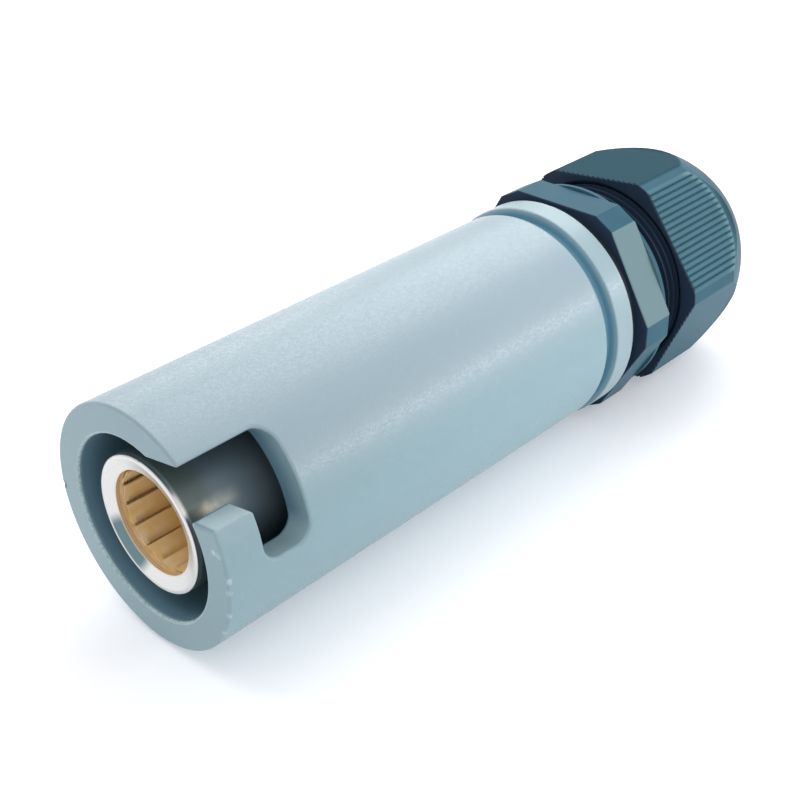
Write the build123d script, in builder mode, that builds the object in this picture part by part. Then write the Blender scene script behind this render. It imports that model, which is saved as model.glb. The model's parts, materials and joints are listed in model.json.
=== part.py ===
from build123d import *
import os
from math import cos, hypot, radians, sin, sqrt

os.makedirs("parts", exist_ok=True)

# Single-pole cable coupler socket. Millimetres, +Z up. The axis lies along X, the mating face is at X = 0
# and the cable leaves towards +X. Angles in the YZ plane run from +Y towards +Z.

# Fits
thread_clearance = 0.05
seat_clearance = 0.15
running_clearance = 0.10
end_play = 0.05
moving_gap = 0.40

# Contact
socket_bore_radius = 7.7
socket_wall = 2.5
socket_recess = 1.2
socket_bore_depth = 33.0
socket_lip_length = 1.3
socket_rim_width = 0.6
socket_lead_in = 0.65
socket_edge = 0.25
collar_step = 2.4
collar_thickness = 4.0
barrel_bore_radius = 7.0
barrel_wall = 2.2
barrel_length = 27.0
barrel_bore_depth = 24.0
inspection_hole_radius = 1.5
inspection_hole_inset = 15.0

# Contact band
band_length = 14.0
band_groove_depth = 0.8
band_thickness = 0.3
band_rim_width = 0.9
band_split = 0.3
band_split_angle = 133.5
louvre_count = 15
louvre_width = 2.9
louvre_tilt = 10.0
louvre_reach = 0.38

# Insulating sleeve
mating_gap = 3.4
sleeve_wall = 4.4
sleeve_length = 78.0
sleeve_edge = 0.4
sleeve_rear_edge = 1.2
chamber_depth = 40.0
partition_thickness = 6.0
entry_wall = 1.95
entry_bore_depth = 9.0
front_nick_radius = 0.55
front_nick_angle = -3.5

# Bayonet slot: heights are measured across the slot's pull direction, from the axis
slot_pull_angle = 168.5
slot_turn_end = -3.3
slot_entry_low = 4.45
slot_entry_width = 7.6
slot_turn_start = 6.2
slot_turn_width = 7.65
slot_hook_radius = 0.6
slot_corner_radius = 2.6

# Contact retaining ring
retainer_land = 1.9
retainer_thickness = 6.0
retainer_squeeze = 0.5
retainer_slot_width = 4.0
retainer_slot_depth = 2.0

# End ring and gasket
end_ring_overhang = 0.35
end_ring_thickness = 4.2
end_ring_neck_step = 1.3
end_ring_neck_length = 1.7
end_ring_edge = 0.25
gasket_inset = 1.15
gasket_thickness = 2.0

# Cable passage, from the seal outwards
seal_bore_radius = 10.6
seal_wall = 1.25
seal_inset = 1.5
seal_edge = 0.4
throat_margin = 0.6
cage_wall = 1.4
cage_inset = 1.7
cage_base_length = 3.0
cage_tip_inset = 1.9
finger_count = 12
finger_slot_width = 1.2
finger_slot_inset = 2.0

# Gland body
entry_thread_length = 15.0
entry_thread_lead = 0.75
hex_sides = 6
hex_shoulder = 1.9
hex_corner_reach = 1.6
hex_thickness = 6.4
hex_edge = 0.15
hex_collar_step = 0.5
hex_collar_thickness = 0.7
neck_wall = 2.3
neck_land_length = 1.4
least_engagement = 5.8
thread_depth = 0.8
thread_pitch = 1.5

# Gland nut, as it stands in the photo and with the turns it has left
nut_gap = 6.9
nut_turn = -6.5
nut_turns_in = 3
nut_turns_out = 2
nut_wall = 1.3
nut_corner_reach = 2.0
nut_length = 25.0
nut_straight_length = 12.2
nut_dome_radius = 30.0
nut_hole_margin = 0.9
nut_hole_length = 2.8
nut_rear_land = 1.5
nut_rear_edge = 0.6
nut_cone_step = 0.6
nut_cone_land = 0.8
nut_mouth_chamfer = 0.6
flute_count = 17
flute_pitch = 1.06
flute_depth = 0.28
flute_overcut = 0.2
flute_length = 16.4
flute_runout = 0.9
flute_end_radius = 12.9
front_notch_count = 16
front_notch_length = 0.45

# Radii of the contact and of what surrounds it
socket_radius = socket_bore_radius + socket_wall
band_groove_radius = socket_bore_radius + band_groove_depth
band_radius = band_groove_radius - seat_clearance
band_inner_radius = band_radius - band_thickness
louvre_inner_radius = socket_bore_radius - louvre_reach
collar_radius = socket_radius + collar_step
barrel_radius = barrel_bore_radius + barrel_wall
retainer_radius = collar_radius + retainer_land
chamber_radius = socket_radius + mating_gap
sleeve_radius = chamber_radius + sleeve_wall
entry_bore_radius = sleeve_radius - entry_wall
entry_thread_radius = entry_bore_radius - thread_clearance
end_ring_bore_radius = entry_thread_radius + seat_clearance
end_ring_radius = sleeve_radius + end_ring_overhang
end_ring_neck_radius = sleeve_radius - end_ring_neck_step
gasket_radius = end_ring_radius - gasket_inset

# Radii of the gland
seal_radius = seal_bore_radius + seal_wall
throat_radius = seal_bore_radius + throat_margin
cage_bore_radius = seal_radius + end_play
cage_radius = cage_bore_radius + cage_wall
cage_seat_radius = cage_radius + running_clearance
neck_root_radius = cage_seat_radius + neck_wall
neck_thread_radius = neck_root_radius + thread_depth
hex_flat = entry_thread_radius + hex_shoulder
hex_collar_radius = hex_flat + hex_collar_step
nut_thread_radius = neck_thread_radius + running_clearance
nut_flat = nut_thread_radius + nut_wall
nut_corner_radius = nut_flat + nut_corner_reach
nut_hole_radius = seal_bore_radius + nut_hole_margin
nut_rear_radius = nut_hole_radius + nut_rear_land
nut_cone_large_radius = nut_thread_radius - nut_cone_step
nut_cone_small_radius = nut_hole_radius + nut_cone_land

# Places along the axis
lip_end = socket_recess + socket_lip_length
groove_end = lip_end + band_length
bore_end = socket_recess + socket_bore_depth
collar_front = chamber_depth + partition_thickness
collar_rear = collar_front + collar_thickness
barrel_end = collar_rear + barrel_length
retainer_end = collar_rear + retainer_thickness
end_ring_front = sleeve_length + end_ring_neck_length
end_ring_rear = end_ring_front + end_ring_thickness
hex_front = end_ring_rear + gasket_thickness
hex_rear = hex_front + hex_thickness
hex_collar_rear = hex_rear + hex_collar_thickness
entry_thread_end = hex_front - entry_thread_length
nut_front = hex_rear + nut_gap
nut_rear = nut_front + nut_length
neck_end = nut_front + nut_turns_out * thread_pitch + least_engagement
nut_thread_end = neck_end + nut_turns_in * thread_pitch + moving_gap
nut_cone_end = nut_rear - nut_hole_length
cage_front = nut_front - cage_inset
cage_stop = cage_front - nut_turns_in * thread_pitch - moving_gap
cage_tip = nut_cone_end - cage_tip_inset
finger_root = cage_front + cage_base_length
seal_end = cage_tip - seal_inset


# A closed outline of (x, radius) points in the XY plane, to be turned about the X axis
def turned_outline(*points):
    with BuildSketch(Plane.XY) as outline:
        with BuildLine():
            Polyline(*points, close=True)
        make_face()
    return outline.sketch


# A ring between two radii, from one place on the axis to another
def ring_outline(start, end, inner, outer):
    return turned_outline((start, inner), (start, outer), (end, outer), (end, inner))


# The edges that lie on the plane X = place
def edges_at(builder, place):
    return builder.edges().filter_by_position(Axis.X, place - 0.01, place + 0.01)


# The circular edges on the plane X = place, the smallest first
def rings_at(builder, place):
    return edges_at(builder, place).filter_by(GeomType.CIRCLE).sort_by(SortBy.RADIUS)


# Whether an edge lies on the sleeve's outer surface
def on_outside(edge):
    return all(hypot(corner.Y, corner.Z) > sleeve_radius - 0.01 for corner in edge.vertices())


# Insulating sleeve
partition_bore = socket_radius + seat_clearance
collar_seat = collar_radius + seat_clearance
retainer_seat = retainer_radius + thread_clearance
retainer_step = collar_rear - retainer_squeeze
entry_bore_end = sleeve_length - entry_bore_depth

pull = (0, cos(radians(slot_pull_angle)), sin(radians(slot_pull_angle)))
slot_plane = Plane(origin=(0, 0, 0), x_dir=(1, 0, 0), z_dir=pull)
slot_entry_high = slot_entry_low + slot_entry_width
slot_turn_rear = slot_turn_start + slot_turn_width
slot_mouth = -sleeve_edge
nick_y = sleeve_radius * cos(radians(front_nick_angle))
nick_z = sleeve_radius * sin(radians(front_nick_angle))

with BuildPart() as insulating_sleeve:
    revolve(
        turned_outline(
            (0, chamber_radius),
            (0, sleeve_radius),
            (sleeve_length, sleeve_radius),
            (sleeve_length, entry_bore_radius),
            (entry_bore_end, entry_bore_radius),
            (entry_bore_end, retainer_seat),
            (retainer_step, retainer_seat),
            (retainer_step, collar_seat),
            (collar_front, collar_seat),
            (collar_front, partition_bore),
            (chamber_depth, partition_bore),
            (chamber_depth, chamber_radius),
        ),
        axis=Axis.X,
    )
    # the slot's walls all run along its pull direction, as a mould's side core leaves them
    with BuildSketch(slot_plane) as slot_outline:
        with BuildLine():
            Polyline(
                (slot_mouth, slot_entry_high),
                (slot_turn_rear, slot_entry_high),
                (slot_turn_rear, slot_turn_end),
                (slot_turn_start, slot_turn_end),
                (slot_turn_start, slot_entry_low),
                (slot_mouth, slot_entry_low),
                close=True,
            )
        make_face()
        slot_hook = slot_outline.vertices().sort_by_distance((slot_turn_start, slot_entry_low))[0]
        fillet(slot_hook, slot_hook_radius)
        fillet(slot_outline.vertices().group_by(Axis.X)[-1], slot_corner_radius)
        slot_foot = slot_outline.vertices().sort_by_distance((slot_turn_start, slot_turn_end))[0]
        fillet(slot_foot, slot_corner_radius)
    extrude(amount=sleeve_radius + slot_turn_width, mode=Mode.SUBTRACT)
    slot_rim = insulating_sleeve.edges(Select.LAST).filter_by(on_outside)
    fillet(slot_rim + edges_at(insulating_sleeve, 0), radius=sleeve_edge)
    fillet(rings_at(insulating_sleeve, sleeve_length)[-1], radius=sleeve_rear_edge)
    with Locations((0, nick_y, nick_z)):
        Sphere(front_nick_radius, mode=Mode.SUBTRACT)
insulating_sleeve.part.label = "insulating_sleeve"
export_step(insulating_sleeve.part, "parts/insulating_sleeve.step")

# Contact: socket, collar and crimp barrel turned from one bar
with BuildPart() as contact_socket:
    revolve(
        turned_outline(
            (socket_recess + socket_lead_in, socket_bore_radius),
            (socket_recess, socket_radius - socket_rim_width),
            (socket_recess, socket_radius),
            (collar_front, socket_radius),
            (collar_front, collar_radius),
            (collar_rear, collar_radius),
            (collar_rear, barrel_radius),
            (barrel_end, barrel_radius),
            (barrel_end, barrel_bore_radius),
            (barrel_end - barrel_bore_depth, barrel_bore_radius),
            (barrel_end - barrel_bore_depth, 0),
            (bore_end, 0),
            (bore_end, socket_bore_radius),
            (groove_end, socket_bore_radius),
            (groove_end, band_groove_radius),
            (lip_end, band_groove_radius),
            (lip_end, socket_bore_radius),
        ),
        axis=Axis.X,
    )
    fillet(rings_at(contact_socket, socket_recess)[-1], radius=socket_edge)
    with Locations((barrel_end - inspection_hole_inset, 0, barrel_radius)):
        Hole(radius=inspection_hole_radius, depth=barrel_radius)
contact_socket.part.label = "contact_socket"
export_step(contact_socket.part, "parts/contact_socket.step")

# Contact band: two rims and the tilted louvres between them, stamped from one strip
band_front = lip_end + end_play
band_rear = groove_end - end_play
louvre_start = band_front + band_rim_width - band_thickness
louvre_length = band_rear - band_front - 2 * (band_rim_width - band_thickness)
louvre_width_drop = louvre_width / 2 * sin(radians(louvre_tilt))
louvre_thickness_drop = band_thickness / 2 * cos(radians(louvre_tilt))
louvre_radius = louvre_inner_radius + louvre_width_drop + louvre_thickness_drop
louvre_half_pitch = 180 / louvre_count

with BuildPart() as contact_band:
    for rim_start in (band_front, band_rear - band_rim_width):
        rim_end = rim_start + band_rim_width
        revolve(ring_outline(rim_start, rim_end, band_inner_radius, band_radius), axis=Axis.X)
    with BuildSketch(Plane.YZ.offset(louvre_start)):
        with PolarLocations(louvre_radius, louvre_count, start_angle=band_split_angle + louvre_half_pitch):
            Rectangle(band_thickness, louvre_width, rotation=louvre_tilt)
    extrude(amount=louvre_length)
    with BuildSketch(Plane.YZ.offset(band_front)):
        with PolarLocations(band_radius, 1, start_angle=band_split_angle):
            Rectangle(2 * (band_radius - louvre_inner_radius), band_split)
    extrude(amount=band_length, mode=Mode.SUBTRACT)
contact_band.part.label = "contact_band"
export_step(contact_band.part, "parts/contact_band.step")

# Contact retaining ring, with two slots for a face spanner
retainer_bore_radius = barrel_radius + seat_clearance

with BuildPart() as contact_retaining_ring:
    revolve(ring_outline(collar_rear, retainer_end, retainer_bore_radius, retainer_radius), axis=Axis.X)
    with Locations((retainer_end, 0, 0)):
        Box(2 * retainer_slot_depth, 2 * sleeve_radius, retainer_slot_width, mode=Mode.SUBTRACT)
contact_retaining_ring.part.label = "contact_retaining_ring"
export_step(contact_retaining_ring.part, "parts/contact_retaining_ring.step")

# End ring: a rim and a narrower neck that seats on the sleeve's end
with BuildPart() as end_ring:
    revolve(
        turned_outline(
            (sleeve_length, end_ring_bore_radius),
            (sleeve_length, end_ring_neck_radius),
            (end_ring_front, end_ring_neck_radius),
            (end_ring_front, end_ring_radius),
            (end_ring_rear, end_ring_radius),
            (end_ring_rear, end_ring_bore_radius),
        ),
        axis=Axis.X,
    )
    fillet(rings_at(end_ring, end_ring_front)[-1], radius=end_ring_edge)
    fillet(rings_at(end_ring, end_ring_rear)[-1], radius=end_ring_edge)
end_ring.part.label = "end_ring"
export_step(end_ring.part, "parts/end_ring.step")

# Gland gasket
with BuildPart() as gland_gasket:
    revolve(ring_outline(end_ring_rear, hex_front, end_ring_bore_radius, gasket_radius), axis=Axis.X)
gland_gasket.part.label = "gland_gasket"
export_step(gland_gasket.part, "parts/gland_gasket.step")

# Gland body: entry thread, hexagon with blunted corners and a round collar, and the neck that carries the nut
half_side = 180 / hex_sides
hex_corner = hex_flat + hex_corner_reach

with BuildPart() as gland_body:
    with BuildSketch(Plane.YZ.offset(hex_front)):
        RegularPolygon(hex_flat, hex_sides, major_radius=False)
        RegularPolygon(hex_corner, hex_sides, major_radius=False, rotation=half_side, mode=Mode.INTERSECT)
    extrude(amount=hex_thickness)
    chamfer(gland_body.edges().group_by(Axis.X)[0] + gland_body.edges().group_by(Axis.X)[-1], hex_edge)
    revolve(
        turned_outline(
            (entry_thread_end, 0),
            (entry_thread_end, entry_thread_radius - entry_thread_lead),
            (entry_thread_end + entry_thread_lead, entry_thread_radius),
            (hex_rear, entry_thread_radius),
            (hex_rear, hex_collar_radius),
            (hex_collar_rear, hex_collar_radius),
            (hex_collar_rear, neck_root_radius),
            (neck_end - neck_land_length, neck_root_radius),
            (neck_end - neck_land_length, neck_thread_radius),
            (neck_end, neck_thread_radius),
            (neck_end, 0),
        ),
        axis=Axis.X,
    )
    revolve(
        turned_outline(
            (entry_thread_end, 0),
            (entry_thread_end, throat_radius),
            (cage_stop, throat_radius),
            (cage_stop, cage_seat_radius),
            (neck_end, cage_seat_radius),
            (neck_end, 0),
        ),
        axis=Axis.X,
        mode=Mode.SUBTRACT,
    )
gland_body.part.label = "gland_body"
export_step(gland_body.part, "parts/gland_body.step")

# Clamping cage: a base ring with fingers, blunted at the tips to lie clear of the nut's cone
cone_slope = (nut_cone_large_radius - nut_cone_small_radius) / (nut_cone_end - nut_thread_end)
tip_radius = nut_cone_large_radius - cone_slope * (cage_tip - nut_thread_end) - moving_gap
tip_start = cage_tip - (cage_radius - tip_radius) / cone_slope

with BuildPart() as clamping_cage:
    revolve(
        turned_outline(
            (cage_front, throat_radius),
            (cage_front, cage_radius),
            (tip_start, cage_radius),
            (cage_tip, tip_radius),
            (cage_tip, cage_bore_radius),
            (finger_root, cage_bore_radius),
            (finger_root, throat_radius),
        ),
        axis=Axis.X,
    )
    with BuildSketch(Plane.YZ.offset(finger_root + finger_slot_inset)):
        with PolarLocations(cage_radius, finger_count):
            Rectangle(2 * (cage_radius - throat_radius), finger_slot_width)
    extrude(amount=cage_tip - finger_root, mode=Mode.SUBTRACT)
clamping_cage.part.label = "clamping_cage"
export_step(clamping_cage.part, "parts/clamping_cage.step")

# Gland seal: a rubber bush seated on the cage's inner step
with BuildPart() as gland_seal:
    revolve(ring_outline(finger_root, seal_end, seal_bore_radius, seal_radius), axis=Axis.X)
    chamfer(rings_at(gland_seal, seal_end), seal_edge)
gland_seal.part.label = "gland_seal"
export_step(gland_seal.part, "parts/gland_seal.step")

# The flutes of one flat, on the +Y side: three-sided bars along X, drawn to points that lie on an arc
flute_arc_middle = nut_front + flute_length - flute_end_radius
flute_bottom = nut_flat - flute_depth
flute_top = nut_flat + flute_overcut

with BuildPart() as flute_row:
    for flute in range(flute_count):
        middle = (flute - (flute_count - 1) / 2) * flute_pitch
        left = middle - flute_depth - flute_overcut
        right = middle + flute_depth + flute_overcut
        flute_tip = flute_arc_middle + sqrt(flute_end_radius**2 - middle**2)
        with BuildSketch(Plane.YZ.offset(flute_tip - flute_runout)) as flute_section:
            Polygon((flute_bottom, middle), (flute_top, left), (flute_top, right), align=None)
        extrude(amount=-nut_length)
        loft([flute_section.sketch.face(), Vertex(flute_tip, flute_top, middle)])

# Gland nut: a hexagon with rounded corners, three fluted flats, a turned dome and a cone inside
nut_dome_start = nut_front + nut_straight_length
fluted_flats = nut_turn + half_side
smooth_flats = fluted_flats + 2 * half_side

with BuildPart() as gland_nut:
    with BuildSketch(Plane.YZ.offset(nut_front)):
        RegularPolygon(nut_flat, hex_sides, major_radius=False, rotation=nut_turn)
        Circle(nut_corner_radius, mode=Mode.INTERSECT)
    extrude(amount=nut_length)
    with BuildSketch(Plane.XY) as nut_dome:
        with BuildLine():
            Polyline(
                (nut_rear, nut_rear_radius),
                (nut_rear, 0),
                (nut_front, 0),
                (nut_front, nut_corner_radius),
                (nut_dome_start, nut_corner_radius),
            )
            RadiusArc((nut_dome_start, nut_corner_radius), (nut_rear, nut_rear_radius), nut_dome_radius)
        make_face()
    revolve(axis=Axis.X, mode=Mode.INTERSECT)
    for flat in range(hex_sides // 2):
        add(flute_row.part.rotate(Axis.X, fluted_flats + flat * 4 * half_side), mode=Mode.SUBTRACT)
    with BuildSketch(Plane.YZ.offset(nut_front)):
        with PolarLocations(nut_flat, hex_sides // 2, start_angle=smooth_flats):
            with GridLocations(0, flute_pitch, 1, front_notch_count):
                RegularPolygon(flute_depth, 4)
    extrude(amount=front_notch_length, mode=Mode.SUBTRACT)
    revolve(
        turned_outline(
            (nut_front, 0),
            (nut_front, nut_thread_radius + nut_mouth_chamfer),
            (nut_front + nut_mouth_chamfer, nut_thread_radius),
            (nut_thread_end, nut_thread_radius),
            (nut_thread_end, nut_cone_large_radius),
            (nut_cone_end, nut_cone_small_radius),
            (nut_cone_end, nut_hole_radius),
            (nut_rear, nut_hole_radius),
            (nut_rear, 0),
        ),
        axis=Axis.X,
        mode=Mode.SUBTRACT,
    )
    chamfer(rings_at(gland_nut, nut_rear), nut_rear_edge)
gland_nut.part.label = "gland_nut"
export_step(gland_nut.part, "parts/gland_nut.step")
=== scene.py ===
import json
import math

import bpy
from bpy.props import FloatProperty, FloatVectorProperty, PointerProperty
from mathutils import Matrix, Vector


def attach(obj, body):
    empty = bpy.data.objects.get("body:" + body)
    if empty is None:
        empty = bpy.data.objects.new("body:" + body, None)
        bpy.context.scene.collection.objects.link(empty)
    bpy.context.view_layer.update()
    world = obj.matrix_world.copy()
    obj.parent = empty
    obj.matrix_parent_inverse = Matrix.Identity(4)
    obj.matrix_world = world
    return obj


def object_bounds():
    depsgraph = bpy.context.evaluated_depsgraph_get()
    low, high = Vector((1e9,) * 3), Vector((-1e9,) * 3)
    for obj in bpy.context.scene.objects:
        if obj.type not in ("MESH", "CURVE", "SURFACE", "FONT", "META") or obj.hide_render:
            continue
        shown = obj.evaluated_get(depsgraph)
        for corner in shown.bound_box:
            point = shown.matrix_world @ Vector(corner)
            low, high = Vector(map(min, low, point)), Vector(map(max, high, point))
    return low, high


bl_info = {
    "name": "Power Cable Connector",
    "version": (1, 0, 0),
    "blender": (4, 5, 0),
    "location": "3D Viewport > Sidebar > Connector",
    "description": "Gives the connector its finishes, winds the gland's thread and sets up the studio",
    "category": "Object",
}

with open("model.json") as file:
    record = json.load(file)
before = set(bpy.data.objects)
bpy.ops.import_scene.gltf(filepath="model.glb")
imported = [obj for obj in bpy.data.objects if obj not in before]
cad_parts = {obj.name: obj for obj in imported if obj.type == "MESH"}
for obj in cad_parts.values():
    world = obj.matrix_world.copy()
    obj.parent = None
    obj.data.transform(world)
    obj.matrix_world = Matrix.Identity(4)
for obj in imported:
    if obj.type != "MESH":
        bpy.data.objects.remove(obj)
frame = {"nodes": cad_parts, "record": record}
cad_low, cad_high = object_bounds()

# Millimetres in the scene's metres
MM = 0.001

# Sleeve: radii of its outside and chamber, the front of the end ring's rim, and the groove before it
SLEEVE_RADIUS = 18.0 * MM
CHAMBER_RADIUS = 13.6 * MM
RIM_FRONT = 79.7 * MM
GROOVE_WIDTH = 1.7 * MM

# Bayonet slot: the way its ledge faces, from +Y to +Z, heights above the axis that way, and its ends
SLOT_UP = math.radians(78.5)
LEDGE_HEIGHT = 4.45 * MM
FOOT_HEIGHT = -3.3 * MM
LEDGE_REAR = 6.2 * MM
SLOT_REAR = 13.85 * MM

# Spots on the sleeve's front edge that have been rubbed pale, and the nick in that edge
SCUFFS = [
    (0, -15.7 * MM, 4.6 * MM),
    (0, -16.6 * MM, 4.6 * MM),
    (0.3 * MM, -17.9 * MM, 1.2 * MM),
    (0.1 * MM, -17.8 * MM, -0.6 * MM),
    (0.1 * MM, -17.3 * MM, -4.6 * MM),
    (0.1 * MM, -15.9 * MM, -8.2 * MM),
]
NICK = (0, 17.6 * MM, -1.1 * MM)

# Contact: its front face and outside, the lead-in of its mouth, the painted dark reflection on one side of
# the mouth and the painted glint
CONTACT_FRONT = 1.2 * MM
CONTACT_RADIUS = 10.2 * MM
LEAD_IN_END = 1.85 * MM
MOUTH_RADIUS = 9.6 * MM
DARK_REFLECTION_SPOT = (1.5 * MM, 6.0 * MM, -6.3 * MM)
GLINT_HEIGHT = 5.2 * MM

# Louvre band: the louvres share the circle between them, from this edge on, and begin here along the axis
LOUVRE_EDGE = math.radians(133.5)
LOUVRE_ARC = math.radians(24)
LOUVRE_FRONT = 3.15 * MM

# Gland: its hexagon from the axis to a flat and along the axis, and the flat that carries a painted highlight
HEX_FLAT = 17.9 * MM
HEX_FRONT = 85.9 * MM
HEX_REAR = 92.3 * MM
HIGHLIT_FLAT = math.radians(150)

# Nut: from the axis to a flat, its front, the front of its dome, and its thread's radius and inside end
NUT_FLAT = 17.9 * MM
NUT_FRONT = 99.2 * MM
DOME_FRONT = 111.4 * MM
NUT_THREAD_RADIUS = 16.6 * MM
NUT_INSIDE_END = 121.4 * MM

# The way that the nut's dull flat, which carries painted shade, and one of its three fluted flats face, from
# +Y to +Z
DULL_SHADED_FLAT = math.radians(83.5)
FLUTED_FLAT = math.radians(23.5)
FLUTED_FLATS = 3

# The flutes lie a pitch apart, and their ends lie on an arc around this place along the axis
FLUTE_PITCH = 1.06 * MM
FLUTE_ARC_MIDDLE = 102.7 * MM
FLUTE_ARC_RADIUS = 12.9 * MM

# The gland's thread rises by one pitch for each turn of its nut, as the record's coupling says
thread_coupling = frame["record"]["behaviour"]["couplings"][0]
THREAD_PITCH = 2 * math.pi * thread_coupling["ratio"]

# How finely the thread is wound, which points of it are merged, and which of its edges are smooth
THREAD_STEPS = 120
MERGE_DISTANCE = 0.001 * MM
SMOOTH_ANGLE = math.radians(35)

# Studio: widths of the floor and of its faint patches, and how far the lamps are from the connector's middle
FLOOR_WIDTH = 4.0
FLOOR_PATCH = 0.2
LAMP_DISTANCE = 0.5

# The way to each lamp, its width and height, and whether surfaces mirror it
LAMPS = {
    "panel": ((0.60, 0.30, 0.74), (0.36, 0.42), True),
    "key": ((-0.38, 0.45, 0.80), (0.20, 0.20), False),
    "back": ((0.42, 0.80, 0.42), (0.15, 0.32), True),
    "strip": ((0.60, -0.75, 0.25), (0.30, 0.05), True),
}


def colour(name, description, default):
    """A colour that a user may change, in linear light"""
    return FloatVectorProperty(
        name=name, description=description, default=default, subtype="COLOR", size=3, min=0, max=1
    )


def length(name, description, default):
    """A length that a user may change, in metres"""
    return FloatProperty(name=name, description=description, default=default, unit="LENGTH", precision=5)


def power(name, description, default):
    """A lamp's power that a user may change, in watts"""
    return FloatProperty(name=name, description=description, default=default, unit="POWER", min=0)


def strength(name, description, default):
    """A strength of light that a user may change, where 1 shows white"""
    return FloatProperty(name=name, description=description, default=default, min=0)


class ConnectorFinishes(bpy.types.PropertyGroup):
    """Colours of the connector's finishes"""

    sleeve_grey: colour("Sleeve Grey", "Moulded sleeve and end ring", (0.275, 0.435, 0.490))
    # Painted light: a paler colour for the sleeve's top side, where the top light falls
    sleeve_bleached: colour("Sleeve Bleached", "Upper side of the sleeve", (0.325, 0.435, 0.50))
    rim_pale: colour("Rim Pale", "The end ring's rim, cleaner than the sleeve", (0.31, 0.435, 0.49))
    # Painted shade inside the sleeve's chamber and on the slot's walls
    chamber_blue: colour("Chamber Blue", "The sleeve's darker inside", (0.120, 0.23, 0.305))
    # Painted shade in the groove in front of the end ring's rim
    groove_blue: colour("Groove Blue", "Groove in front of the end ring's rim", (0.15, 0.33, 0.44))
    # Real rubbed spots, also used as painted light on the slot's ledge and foot and as a painted highlight on
    # the chamber's edge
    scuff_white: colour("Scuff White", "Rubbed edges of the sleeve and its slot", (0.62, 0.76, 0.80))
    nick_dark: colour("Nick", "Dirt in the nick on the sleeve's front edge", (0.03, 0.05, 0.08))
    gland_black: colour("Gland Black", "Moulded gland body, cage and nut", (0.047, 0.132, 0.184))
    # Painted shade on the gland's end faces and inside its nut
    gland_shade: colour("Gland Shade", "The gland's darker end faces and inside", (0.026, 0.045, 0.080))
    # Painted highlight on one flat of the hexagon
    gland_rubbed: colour("Gland Rubbed", "Flat of the hexagon, rubbed by a spanner", (0.18, 0.28, 0.305))
    # Painted highlight on the ridges between the nut's flutes and on their ends
    flute_rubbed: colour("Flute Rubbed", "Ridges between the nut's flutes", (0.20, 0.36, 0.39))
    rubber_black: colour("Rubber Black", "Gasket and cable seal", (0.012, 0.020, 0.030))
    contact_silver: colour("Contact Silver", "Plating on the contact's rubbed faces", (0.67, 0.66, 0.64))
    contact_tarnish: colour("Contact Tarnish", "Dulled plating on the outside", (0.100, 0.132, 0.125))
    # Painted reflection farther back on the contact's outside
    contact_slate: colour("Contact Slate", "Dulled plating farther back", (0.125, 0.170, 0.200))
    # Painted glint along the contact's outside
    contact_streak: colour("Contact Streak", "Rubbed streak along the outside", (0.62, 0.56, 0.44))
    # Painted dark reflection on one side of the mouth's lead-in
    contact_stain: colour("Contact Stain", "Darkened side of the mouth", (0.12, 0.185, 0.20))
    # Plating rubbed through by the pin, its tan also a painted reflection of the gold band
    contact_worn: colour("Contact Worn", "Where the pin has rubbed off the plating", (0.80, 0.60, 0.40))
    band_gold: colour("Band Gold", "Louvre strip in the contact's mouth", (1.0, 0.83, 0.56))
    band_bronze: colour("Band Bronze", "Deeper patches of the louvre strip", (0.94, 0.68, 0.30))
    # Painted shade along one edge of each louvre
    band_brown: colour("Band Brown", "Tarnish along one edge of each louvre", (0.50, 0.29, 0.07))
    ring_brass: colour("Ring Brass", "Ring that holds the contact", (0.72, 0.55, 0.28))


class ConnectorThread(bpy.types.PropertyGroup):
    """Sizes of the thread on the gland's neck"""

    start: length("Start", "Face of the collar that the thread runs out of", 93.0 * MM)
    end: length("End", "Face of the plain land at the neck's end", 106.6 * MM)
    root_radius: length("Root Radius", "Radius of the neck between the turns", 15.7 * MM)
    height: length("Height", "Height of the turns above the neck", 0.76 * MM)
    sink: length("Sink", "Depth of a turn's foot below the neck's surface", 0.1 * MM)
    foot_width: length("Foot Width", "Width of a turn where it meets the neck", 1.16 * MM)
    crest_width: length("Crest Width", "Width of a turn at its top", 0.22 * MM)


class ConnectorStudio(bpy.types.PropertyGroup):
    """Camera and light"""

    camera_place: FloatVectorProperty(
        name="Camera Place",
        description="Where the camera stands",
        default=(-70.93 * MM, -117.30 * MM, 101.46 * MM),
        subtype="TRANSLATION",
        unit="LENGTH",
        precision=5,
    )
    camera_turn: FloatVectorProperty(
        name="Camera Turn",
        description="How the camera is turned",
        default=(math.radians(58.13), math.radians(1.08), math.radians(-46.24)),
        subtype="EULER",
        unit="ROTATION",
    )
    camera_lens: FloatProperty(
        name="Lens", description="Focal length on a 36 mm sensor, in millimetres", default=57.7, unit="CAMERA"
    )
    floor_colour: colour("Floor", "Plain pale floor", (0.93, 0.93, 0.95))
    glow_colour: colour("Glow Colour", "Cool cast of the floor's glow", (0.88, 0.92, 1.0))
    floor_glow: strength("Floor Glow", "What the floor shows above the light it gets, to look white", 0.26)
    sky_strength: strength("Sky", "Mean strength of the soft light from the sides", 0.48)
    sky_slope: FloatVectorProperty(
        name="Sky Slope",
        description="How much stronger the soft light is along each axis",
        default=(-0.04, -0.28, 0.45),
    )
    panel_power: power("Panel Light", "Power of the large light above", 1.1)
    key_power: power("Key Light", "Power of the light that throws the shadow", 0.33)
    back_power: power("Back Light", "Power of the low light behind", 0.28)
    strip_power: power("Strip Light", "Power of the narrow light at the side", 0.52)


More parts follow.
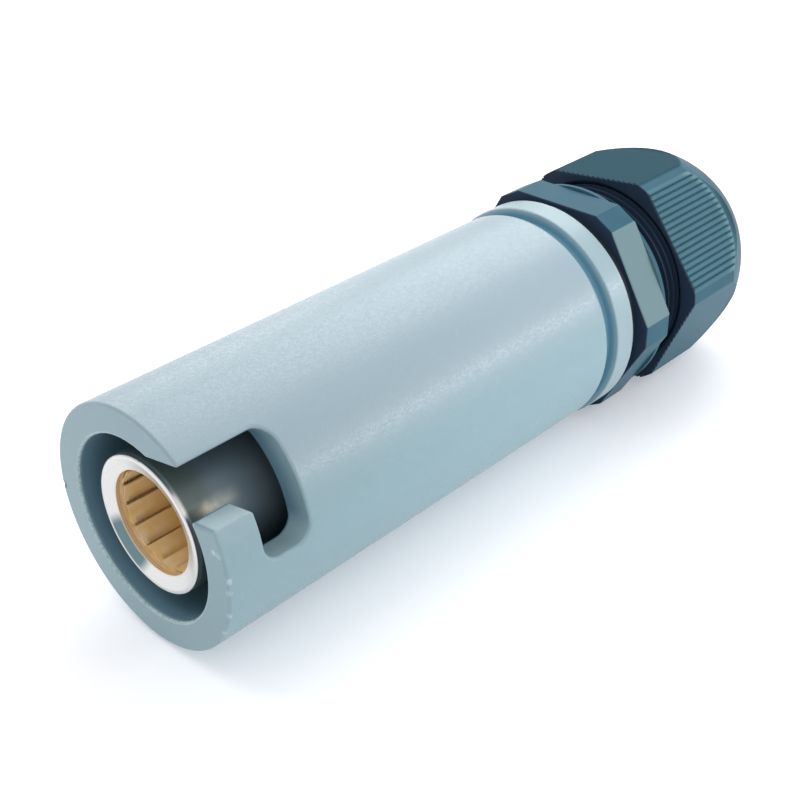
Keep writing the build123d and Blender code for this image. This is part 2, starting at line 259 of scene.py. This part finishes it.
class Wire:
    """A shader socket that takes part in sums, and from which any further node is added"""

    def __init__(self, tree, socket=None):
        self.tree = tree
        self.socket = socket

    def node(self, kind, settings=None, sockets=None, outlet=0):
        """Adds a node, sets it up, feeds its sockets and returns one of its outlets"""
        node = self.tree.nodes.new("ShaderNode" + kind)
        for name, value in (settings or {}).items():
            setattr(node, name, value)
        for key, value in (sockets or {}).items():
            if isinstance(value, Wire):
                self.tree.links.new(value.socket, node.inputs[key])
            else:
                node.inputs[key].default_value = value
        return Wire(self.tree, node.outputs[outlet])

    def beside(self, outlet):
        """Another outlet of the same node"""
        return Wire(self.tree, self.socket.node.outputs[outlet])

    def sum(self, operation, first, second=0.0):
        """A Math node's result"""
        return self.node("Math", {"operation": operation}, {0: first, 1: second})

    def __add__(self, other):
        return self.sum("ADD", self, other)

    def __sub__(self, other):
        return self.sum("SUBTRACT", self, other)

    def __rsub__(self, other):
        return self.sum("SUBTRACT", other, self)

    def __mul__(self, other):
        return self.sum("MULTIPLY", self, other)

    def __truediv__(self, other):
        return self.sum("DIVIDE", self, other)

    __radd__ = __add__
    __rmul__ = __mul__


def new_finish(name, constants):
    """A material whose shader has these constant values, with its shader and the place on the object"""
    material = bpy.data.materials.new(name)
    material.use_nodes = True
    tree = material.node_tree
    shader = tree.nodes["Principled BSDF"]
    for socket, value in constants.items():
        shader.inputs[socket].default_value = value
    return material, shader, Wire(tree).node("TexCoord", outlet="Object")


def feed(shader, socket, wire):
    """Links a wire to one of the shader's sockets"""
    wire.tree.links.new(wire.socket, shader.inputs[socket])


def cloud(place, size, detail=2.0, stretch=(1, 1, 1)):
    """Soft noise with patches of about this size, drawn out along the axes where stretch is above 1"""
    scale = [1 / (size * factor) for factor in stretch]
    scaled = place.node("Mapping", None, {"Vector": place, "Scale": scale})
    return place.node("TexNoise", None, {"Vector": scaled, "Scale": 1.0, "Detail": detail})


def ramp(value, low, high):
    """A smooth rise from 0 at low to 1 at high"""
    return value.node(
        "MapRange", {"interpolation_type": "SMOOTHSTEP"}, {"Value": value, "From Min": low, "From Max": high}
    )


def tint(mask, first, second):
    """One colour where the mask is 0 and another where it is 1"""
    colours = {6: first, 7: second}
    for key, value in colours.items():
        if not isinstance(value, Wire):
            colours[key] = (*value, 1.0)
    return mask.node("Mix", {"data_type": "RGBA"}, {0: mask, **colours}, outlet=2)


def shade(base, factor):
    """A colour made lighter or darker"""
    return [channel * factor for channel in base]


def bump(height, distance):
    """A surface normal that follows a height, whose full range stands this far out"""
    return height.node("Bump", None, {"Distance": distance, "Height": height}, outlet="Normal")


def coordinates(place):
    """Distance along the axis, the two distances across it, and the radius"""
    split = place.node("SeparateXYZ", None, {0: place})
    x, y, z = split, split.beside(1), split.beside(2)
    radius = split.sum("SQRT", y * y + z * z)
    return x, y, z, radius


def at(value, level, reach):
    """1 where the value is at this level, falling to 0 at twice the reach from it"""
    away = value.sum("ABSOLUTE", value - level)
    return ramp(away, 2 * reach, reach)


def near(place, centre, reach, softness):
    """1 inside a ball, falling to 0 across its soft skin"""
    distance = place.node("VectorMath", {"operation": "DISTANCE"}, {0: place, 1: centre}, outlet="Value")
    return ramp(distance, reach + softness, reach)


def outward(y, z, angle):
    """Distance from the axis in the direction that a flat at this angle faces"""
    return y * math.cos(angle) + z * math.sin(angle)


def around(y, z, start, low, high):
    """Angle around the axis from this start, wrapped to lie between low and high"""
    angle = y.sum("ARCTAN2", z, y) - start
    return y.node("Math", {"operation": "WRAP"}, {0: angle, 1: high, 2: low})


def seen_directly(place):
    """1 where a surface is seen by the camera, or by it in a mirror or through glass"""
    ray = place.node("LightPath", outlet="Is Camera Ray")
    mirrored = ray.sum("MAXIMUM", ray.beside("Is Glossy Ray"), ray.beside("Is Transmission Ray"))
    return ray.sum("MAXIMUM", ray, mirrored)


def sleeve_colour(place, colours):
    """Colour of the sleeve and end ring: painted light on the top side, painted shade in front, inside and in
    the groove, painted light on the slot's ledge and foot, and a pale rim
    """
    x, y, z, radius = coordinates(place)
    # Painted light: the sleeve's top side is paler
    upper_light = ramp(z, 3 * MM, 11 * MM) * ramp(radius, SLEEVE_RADIUS - 0.5 * MM, SLEEVE_RADIUS - 0.1 * MM)
    skin = tint(upper_light, colours.sleeve_grey, colours.sleeve_bleached)
    flow = cloud(place, 6 * MM, 3.0, (5, 1, 1))
    # Painted shade: the sleeve grows darker towards its front, with faint flow marks mixed in
    front_shade = ramp(x, 75 * MM, -25 * MM)
    outside = tint(0.12 * flow + 0.36 * front_shade, skin, shade(colours.sleeve_grey, 0.5))

    behind_face = ramp(x, 0.3 * MM, 0.9 * MM)
    outer_end = ramp(radius, SLEEVE_RADIUS - 0.1 * MM, SLEEVE_RADIUS - 0.4 * MM)
    walls = ramp(radius, CHAMBER_RADIUS + 0.1 * MM, CHAMBER_RADIUS + 0.4 * MM) * outer_end
    in_slot = walls * behind_face * ramp(x, SLOT_REAR + 2.15 * MM, SLOT_REAR + 1.15 * MM)
    height = outward(y, z, SLOT_UP)
    # Painted light on the slot's ledge, where light falls, and a painted highlight along its foot
    ledge_length = ramp(x, LEDGE_REAR + 0.8 * MM, LEDGE_REAR - 0.2 * MM)
    ledge = at(height, LEDGE_HEIGHT, 0.3 * MM) * in_slot * ledge_length
    foot = ramp(height, FOOT_HEIGHT + 3.8 * MM, FOOT_HEIGHT + 0.8 * MM) * in_slot
    # Painted shade: the chamber and the slot's walls are darker and bluer, except on the lit ledge and foot
    chamber = ramp(radius, SLEEVE_RADIUS - 0.1 * MM, CHAMBER_RADIUS + 0.2 * MM) * behind_face
    shaded = tint(chamber * (1 - ledge - 0.8 * foot), outside, colours.chamber_blue)
    # The ledge and foot are painted lighter
    sleeve = tint(0.55 * ledge + 0.22 * foot, shaded, colours.scuff_white)

    rimmed = tint(ramp(x, RIM_FRONT, RIM_FRONT + 0.1 * MM), sleeve, colours.rim_pale)
    # Painted shade in the groove in front of the rim
    below_rim = ramp(radius, SLEEVE_RADIUS - 0.1 * MM, SLEEVE_RADIUS - 0.8 * MM)
    groove = at(x, RIM_FRONT - GROOVE_WIDTH / 2, GROOVE_WIDTH / 2) * below_rim
    return tint(groove, rimmed, colours.groove_blue)


def scuffing(place):
    """Pale wear spots on the sleeve's outer front edge, and a painted highlight all around the chamber's edge
    """
    x, _, _, radius = coordinates(place)
    spots = sum(near(place, spot, 0.15 * MM, 0.55 * MM) for spot in SCUFFS)
    # Painted highlight all around the chamber's edge
    chamber_edge_highlight = at(radius, CHAMBER_RADIUS + 0.15 * MM, 0.15 * MM) * ramp(x, 0.5 * MM, 0.25 * MM)
    return (spots + 0.7 * chamber_edge_highlight) * ramp(cloud(place, 0.5 * MM, 1.0), 0.25, 0.65)


def moulded_grey(colours):
    """Moulded grey plastic: faint flow marks, a fine grain, wear on the sleeve's front edge, and painted
    light and shade
    """
    material, shader, place = new_finish(
        "moulded_grey", {"IOR": 1.5, "Specular IOR Level": 0.6, "Coat Roughness": 0.26}
    )
    scuffed_and_highlit = tint(0.55 * scuffing(place), sleeve_colour(place, colours), colours.scuff_white)
    nick = near(place, NICK, 0.5 * MM, 0.3 * MM)
    feed(shader, "Base Color", tint(nick, scuffed_and_highlit, colours.nick_dark))
    grain = cloud(place, 0.28 * MM, 1.0)
    feed(shader, "Roughness", 0.38 + 0.12 * grain)
    feed(shader, "Coat Weight", 0.6 * ramp(cloud(place, 0.3 * MM, 2.0), 0.40, 0.66))
    feed(shader, "Normal", bump(grain, 0.012 * MM))
    return material


def fluting(place):
    """The ridges between the flutes on the nut's fluted flats, and the ridges' ends, which take the painted
    highlights
    """
    x, y, z, radius = coordinates(place)
    half_step = math.pi / FLUTED_FLATS
    angle = around(y, z, FLUTED_FLAT, -half_step, half_step)
    across = radius * place.sum("SINE", angle)
    away = radius * place.sum("COSINE", angle)
    along = x - FLUTE_ARC_MIDDLE
    reach = place.sum("SQRT", along * along + across * across)
    on_flat = ramp(away, NUT_FLAT - 0.5 * MM, NUT_FLAT - 0.3 * MM) * ramp(x, NUT_FRONT - 0.3 * MM, NUT_FRONT)
    fluted = on_flat * ramp(reach, FLUTE_ARC_RADIUS, FLUTE_ARC_RADIUS - 0.3 * MM)
    ridges = fluted * place.sum("ABSOLUTE", place.sum("SINE", across * (math.pi / FLUTE_PITCH)))
    return ridges, ridges * ramp(reach, FLUTE_ARC_RADIUS - 1.8 * MM, FLUTE_ARC_RADIUS - 0.6 * MM)


def moulded_black(colours):
    """Moulded black plastic with a satin skin, painted shade on its end faces, inside the nut, on the dome
    and on the nut's top flat, and painted highlights on one flat of the hexagon and on the nut's ridges
    """
    material, shader, place = new_finish("moulded_black", {"IOR": 1.5, "Specular IOR Level": 0.06})
    x, y, z, radius = coordinates(place)
    cloudy = cloud(place, 4 * MM, 3.0)
    outside = tint(cloudy, shade(colours.gland_black, 0.85), shade(colours.gland_black, 1.15))
    # Painted shade on the end faces of the hexagon and nut, and inside the nut's thread
    inside_nut = ramp(x, NUT_INSIDE_END, NUT_INSIDE_END - 0.4 * MM)
    shade_inside_nut = ramp(radius, NUT_THREAD_RADIUS + 0.4 * MM, NUT_THREAD_RADIUS + 0.1 * MM) * inside_nut
    end_face_shade = at(x, HEX_FRONT, 0.12 * MM) + at(x, NUT_FRONT, 0.15 * MM)
    moulded = tint(place.sum("MAXIMUM", shade_inside_nut, end_face_shade), outside, colours.gland_shade)

    # Painted highlight on one flat of the hexagon
    hexagon = at(x, (HEX_FRONT + HEX_REAR) / 2, 3 * MM) * ramp(x, HEX_REAR + 0.1 * MM, HEX_REAR - 0.1 * MM)
    highlit_flat = ramp(outward(y, z, HIGHLIT_FLAT), HEX_FLAT - 0.2 * MM, HEX_FLAT - 0.05 * MM) * hexagon
    with_flat_highlight = tint(highlit_flat, moulded, colours.gland_rubbed)

    # Painted shade: the back of the nut's dome is darker
    dome = ramp(x, DOME_FRONT + 3.1 * MM, DOME_FRONT + 5.1 * MM)
    dome_shaded = tint(dome, with_flat_highlight, shade(colours.gland_black, 0.6))
    # Painted shade: the nut's top flat is darker, and it is rougher too
    behind_front = ramp(x, NUT_FRONT, NUT_FRONT + 0.3 * MM)
    dull_shaded_flat = ramp(outward(y, z, DULL_SHADED_FLAT), NUT_FLAT - 0.4 * MM, NUT_FLAT - 0.1 * MM) * behind_front
    dulled = tint(0.6 * dull_shaded_flat, dome_shaded, shade(colours.gland_black, 0.35))
    # Painted highlights on the flutes' ridges, brighter at their ends
    ridges, ends = fluting(place)
    feed(shader, "Base Color", tint(0.2 * ridges + 0.4 * ends, dulled, colours.flute_rubbed))

    feed(shader, "Roughness", 0.36 + 0.10 * cloudy + 0.3 * dull_shaded_flat)
    feed(shader, "Normal", bump(cloud(place, 0.35 * MM, 2.0) + 7 * ridges, 0.008 * MM))
    return material


def matt_rubber(colours):
    """Plain matt rubber"""
    material, shader, place = new_finish("matt_rubber", {"IOR": 1.5})
    grain = cloud(place, 0.5 * MM, 3.0)
    black = tint(grain, shade(colours.rubber_black, 0.7), shade(colours.rubber_black, 1.4))
    feed(shader, "Base Color", black)
    feed(shader, "Roughness", 0.62 + 0.2 * grain)
    feed(shader, "Normal", bump(grain, 0.02 * MM))
    return material


def turning_marks(place, size):
    """Fine rings around the axis, as a lathe tool leaves them on faces and cylinders"""
    x, _, _, radius = coordinates(place)
    across = place.node("CombineXYZ", None, {0: x, 1: radius})
    return cloud(across, size, 2.0)


def silver_plating(colours):
    """Silver plating, bright on the mouth, worn through where the pin rubs it with a painted reflection
    there, and dull on the outside with a painted reflection and a painted glint; one side of the mouth has a
    painted dark reflection
    """
    material, shader, place = new_finish("silver_plating", {})
    x, _, z, radius = coordinates(place)
    stain = cloud(place, 5 * MM, 4.0)
    behind_lip = ramp(x, CONTACT_FRONT + 0.3 * MM, CONTACT_FRONT + 1 * MM)
    outer = ramp(radius + 0.5 * MM * stain, CONTACT_RADIUS - 0.3 * MM, CONTACT_RADIUS + 0.15 * MM)
    dulled = outer * behind_lip
    # Tarnished plating that turns into a painted reflection farther back
    reflection_farther_back = ramp(x + 3 * MM * stain, 5.5 * MM, 9 * MM)
    tarnish_and_reflection = tint(reflection_farther_back, colours.contact_tarnish, colours.contact_slate)
    # Painted glint: a pale streak along the outside at this height
    glint_foot = ramp(z, GLINT_HEIGHT - 1.3 * MM, GLINT_HEIGHT)
    glint_width = glint_foot * ramp(z, GLINT_HEIGHT + 1.4 * MM, GLINT_HEIGHT)
    glint_length = ramp(x, 2 * MM, 5 * MM) * ramp(x, 11 * MM, 6 * MM)
    streak = glint_width * glint_length * cloud(place, 1.5 * MM, 2.0)
    outside = tint(0.8 * streak, tarnish_and_reflection, colours.contact_streak)

    bright = tint(stain, shade(colours.contact_silver, 0.94), colours.contact_silver)
    # Painted dark reflection on one side of the mouth
    mouth = ramp(radius, MOUTH_RADIUS + 0.15 * MM, MOUTH_RADIUS - 0.15 * MM) * ramp(x, 3 * MM, 2 * MM)
    dark_reflection_mask = near(place, DARK_REFLECTION_SPOT, 3 * MM, 2 * MM) * mouth
    plated = tint(dark_reflection_mask, bright, colours.contact_stain)
    # Plating rubbed through where the pin rubs, whose tan is also a painted reflection of the gold band
    behind_lead_in = ramp(x, LEAD_IN_END - 0.1 * MM, LEAD_IN_END + 0.05 * MM)
    worn = ramp(radius, MOUTH_RADIUS - 0.4 * MM, MOUTH_RADIUS - 0.8 * MM) * behind_lead_in
    inside = tint(worn, plated, colours.contact_worn)
    feed(shader, "Base Color", tint(dulled, inside, outside))

    rings = turning_marks(place, 0.12 * MM)
    feed(shader, "Metallic", 1 - 0.55 * dulled - 0.7 * worn)
    feed(shader, "Roughness", 0.24 + 0.08 * rings + 0.15 * dulled)
    feed(shader, "Normal", bump(rings, 0.006 * MM))
    return material


def gold_strip(colours):
    """Gold-coloured spring strip with a rolled surface, and painted shade along one edge of each louvre"""
    material, shader, place = new_finish("gold_strip", {"Metallic": 0.25})
    x, y, z, _ = coordinates(place)
    patches = ramp(cloud(place, 2 * MM, 1.0), 0.25, 0.75) * ramp(x, 10 * MM, 4 * MM)
    rolled = tint(patches, colours.band_bronze, colours.band_gold)
    across = around(y, z, LOUVRE_EDGE, 0.0, LOUVRE_ARC) / LOUVRE_ARC
    fading = 0.35 + 0.65 * ramp(x, LOUVRE_FRONT + 5.85 * MM, LOUVRE_FRONT + 1.35 * MM)
    louvres = ramp(x, LOUVRE_FRONT + 0.45 * MM, LOUVRE_FRONT + 0.85 * MM) * fading
    # Painted shade along one edge of each louvre, strongest near the front
    edges = louvres * ramp(across, 0.45, 0.05)
    feed(shader, "Base Color", tint(0.7 * edges, rolled, colours.band_brown))

    drawn = cloud(place, 0.15 * MM, 2.0, (12, 1, 1))
    feed(shader, "Roughness", 0.34 + 0.16 * drawn)
    feed(shader, "Normal", bump(drawn, 0.005 * MM))
    return material


def turned_brass(colours):
    """Turned brass"""
    material, shader, place = new_finish("turned_brass", {"Metallic": 1.0})
    patches = cloud(place, 4 * MM, 3.0)
    brass = tint(patches, shade(colours.ring_brass, 0.85), shade(colours.ring_brass, 1.05))
    feed(shader, "Base Color", brass)
    rings = turning_marks(place, 0.2 * MM)
    feed(shader, "Roughness", 0.28 + 0.1 * rings)
    feed(shader, "Normal", bump(rings, 0.008 * MM))
    return material


def finish_for(maker, context):
    """The finish that this function makes, made once"""
    return bpy.data.materials.get(maker.__name__) or maker(context.scene.connector_finishes)


def dress(names, material):
    """Gives these CAD nodes a finish"""
    for name in names:
        skin = frame["nodes"][name].data
        skin.materials.clear()
        skin.materials.append(material)


def select_none():
    """Deselects every object, so that the next operator acts on a new piece alone"""
    bpy.ops.object.select_all(action="DESELECT")


def select_points(piece, chosen):
    """Selects the points of the piece being edited whose place passes the test"""
    bpy.ops.object.mode_set(mode="OBJECT")
    for point in piece.data.vertices:
        point.select = chosen(point.co)
    bpy.ops.object.mode_set(mode="EDIT")


class CONNECTOR_OT_sleeve(bpy.types.Operator):
    """Finish the insulating sleeve and the end ring behind it"""

    bl_idname = "connector.sleeve"
    bl_label = "Sleeve and End Ring"

    def execute(self, context):
        dress(["insulating_sleeve", "end_ring"], finish_for(moulded_grey, context))
        return {"FINISHED"}


class CONNECTOR_OT_contact(bpy.types.Operator):
    """Finish the contact, its louvre band and the ring that holds it"""

    bl_idname = "connector.contact"
    bl_label = "Contact"

    def execute(self, context):
        dress(["contact_socket"], finish_for(silver_plating, context))
        dress(["contact_band"], finish_for(gold_strip, context))
        dress(["contact_retaining_ring"], finish_for(turned_brass, context))
        return {"FINISHED"}


class CONNECTOR_OT_gland(bpy.types.Operator):
    """Finish the gland's body, cage and nut, and its rubber gasket and seal"""

    bl_idname = "connector.gland"
    bl_label = "Cable Gland"

    def execute(self, context):
        dress(["gland_body", "clamping_cage", "gland_nut"], finish_for(moulded_black, context))
        dress(["gland_gasket", "gland_seal"], finish_for(matt_rubber, context))
        return {"FINISHED"}


class CONNECTOR_OT_neck_thread(bpy.types.Operator):
    """Wind the thread around the gland's neck"""

    bl_idname = "connector.neck_thread"
    bl_label = "Neck Thread"

    def execute(self, context):
        size = context.scene.connector_thread
        foot = size.root_radius - size.sink
        crest = size.root_radius + size.height
        first = size.start - THREAD_PITCH
        turns = math.ceil((size.end - first) / THREAD_PITCH) + 1

        # the outline of one turn, without its face
        select_none()
        middle = Vector((first, (foot + crest) / 2, 0))
        bpy.ops.mesh.primitive_plane_add(size=1, location=middle)
        thread = context.object
        thread.name = "neck_thread"
        bpy.ops.object.mode_set(mode="EDIT")
        bpy.ops.mesh.select_all(action="SELECT")
        bpy.ops.transform.resize(value=(size.foot_width, crest - foot, 1), center_override=middle)
        select_points(thread, lambda co: co.y > 0)
        bpy.ops.transform.resize(value=(size.crest_width / size.foot_width, 1, 1), center_override=middle)
        bpy.ops.mesh.select_all(action="SELECT")
        bpy.ops.mesh.delete(type="ONLY_FACE")
        bpy.ops.object.mode_set(mode="OBJECT")
        bpy.ops.object.transform_apply(location=True, rotation=True, scale=True)

        winding = thread.modifiers.new("winding", "SCREW")
        winding.axis = "X"
        winding.screw_offset = THREAD_PITCH
        winding.iterations = turns
        winding.steps = winding.render_steps = THREAD_STEPS
        bpy.ops.object.modifier_apply(modifier=winding.name)

        # the collar and the plain land cut the turns off
        bpy.ops.object.mode_set(mode="EDIT")
        for place, keeps_front in ((size.start, False), (size.end, True)):
            bpy.ops.mesh.select_all(action="SELECT")
            bpy.ops.mesh.bisect(
                plane_co=(place, 0, 0),
                plane_no=(1, 0, 0),
                use_fill=True,
                clear_inner=not keeps_front,
                clear_outer=keeps_front,
            )
        bpy.ops.mesh.select_all(action="SELECT")
        bpy.ops.mesh.remove_doubles(threshold=MERGE_DISTANCE)
        bpy.ops.mesh.normals_make_consistent(inside=False)
        bpy.ops.object.mode_set(mode="OBJECT")
        bpy.ops.object.shade_smooth_by_angle(angle=SMOOTH_ANGLE)

        thread.data.materials.append(finish_for(moulded_black, context))
        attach(thread, "base")
        return {"FINISHED"}


class CONNECTOR_OT_studio(bpy.types.Operator):
    """Lay the floor and set up the light and the camera"""

    bl_idname = "connector.studio"
    bl_label = "Studio"

    def execute(self, context):
        studio = context.scene.connector_studio
        middle = (cad_low + cad_high) / 2
        self.lay_floor(studio, middle)
        self.light_sky(context.scene, studio)
        for name, (direction, size, mirrored) in LAMPS.items():
            lamp = self.hang_lamp(name, middle, Vector(direction).normalized())
            lamp.data.energy = getattr(studio, name + "_power")
            lamp.data.size, lamp.data.size_y = size
            lamp.visible_glossy = mirrored

        context.scene.view_settings.view_transform = "Standard"
        bpy.ops.object.camera_add(location=studio.camera_place, rotation=studio.camera_turn)
        camera = context.object
        camera.data.lens = studio.camera_lens
        camera.data.clip_start = 1 * MM
        context.scene.camera = camera
        return {"FINISHED"}

    def lay_floor(self, studio, middle):
        """A pale floor under the connector, which looks white and keeps its shadow"""
        select_none()
        bpy.ops.mesh.primitive_plane_add(size=FLOOR_WIDTH, location=(middle.x, middle.y, cad_low.z))
        floor = bpy.context.object
        floor.name = "floor"
        constants = {"Roughness": 0.9, "Specular IOR Level": 0.0, "Emission Strength": studio.floor_glow}
        material, shader, place = new_finish("floor_paint", constants)
        patches = cloud(place, FLOOR_PATCH, 1.0)
        feed(shader, "Base Color", tint(patches, shade(studio.floor_colour, 0.995), studio.floor_colour))
        feed(shader, "Emission Color", tint(seen_directly(place), (0, 0, 0), studio.glow_colour))
        floor.data.materials.append(material)

    def light_sky(self, scene, studio):
        """Soft light from all sides, stronger along the slope, from a sky that looks white"""
        scene.world = scene.world or bpy.data.worlds.new("studio_sky")
        scene.world.use_nodes = True
        tree = scene.world.node_tree
        background = tree.nodes["Background"]
        background.inputs["Color"].default_value = (1.0, 1.0, 1.0, 1.0)
        direction = Wire(tree).node("TexCoord", outlet="Generated")
        slope = direction.node(
            "VectorMath", {"operation": "DOT_PRODUCT"}, {0: direction, 1: studio.sky_slope}, outlet="Value"
        )
        sky = studio.sky_strength + slope
        feed(background, "Strength", sky + (1 - sky) * seen_directly(direction))

    def hang_lamp(self, name, middle, direction):
        """A flat lamp that faces the connector's middle and that the camera doesn't see"""
        turn = direction.to_track_quat("Z", "Y").to_euler()
        bpy.ops.object.light_add(type="AREA", location=middle + direction * LAMP_DISTANCE, rotation=turn)
        lamp = bpy.context.object
        lamp.name = name
        lamp.data.shape = "RECTANGLE"
        lamp.visible_camera = False
        return lamp


class CONNECTOR_PT_sidebar(bpy.types.Panel):
    """The connector's settings and steps"""

    bl_label = "Power Cable Connector"
    bl_space_type = "VIEW_3D"
    bl_region_type = "UI"
    bl_category = "Connector"

    def draw(self, context):
        for name in SETTINGS:
            box = self.layout.box()
            settings = getattr(context.scene, name)
            for key in settings.bl_rna.properties.keys():
                if key not in {"rna_type", "name"}:
                    box.prop(settings, key)
        for operator in OPERATORS:
            self.layout.operator(operator.bl_idname)


SETTINGS = {
    "connector_finishes": ConnectorFinishes,
    "connector_thread": ConnectorThread,
    "connector_studio": ConnectorStudio,
}
OPERATORS = [
    CONNECTOR_OT_sleeve,
    CONNECTOR_OT_contact,
    CONNECTOR_OT_gland,
    CONNECTOR_OT_neck_thread,
    CONNECTOR_OT_studio,
]
CLASSES = [*SETTINGS.values(), *OPERATORS, CONNECTOR_PT_sidebar]


def register():
    for item in CLASSES:
        bpy.utils.register_class(item)
    for name, group in SETTINGS.items():
        setattr(bpy.types.Scene, name, PointerProperty(type=group))


def unregister():
    for name in SETTINGS:
        delattr(bpy.types.Scene, name)
    for item in reversed(CLASSES):
        bpy.utils.unregister_class(item)


def main():
    register()
    bpy.ops.connector.sleeve()
    bpy.ops.connector.contact()
    bpy.ops.connector.gland()
    bpy.ops.connector.neck_thread()
    bpy.ops.connector.studio()


if __name__ == "__main__":
    main()
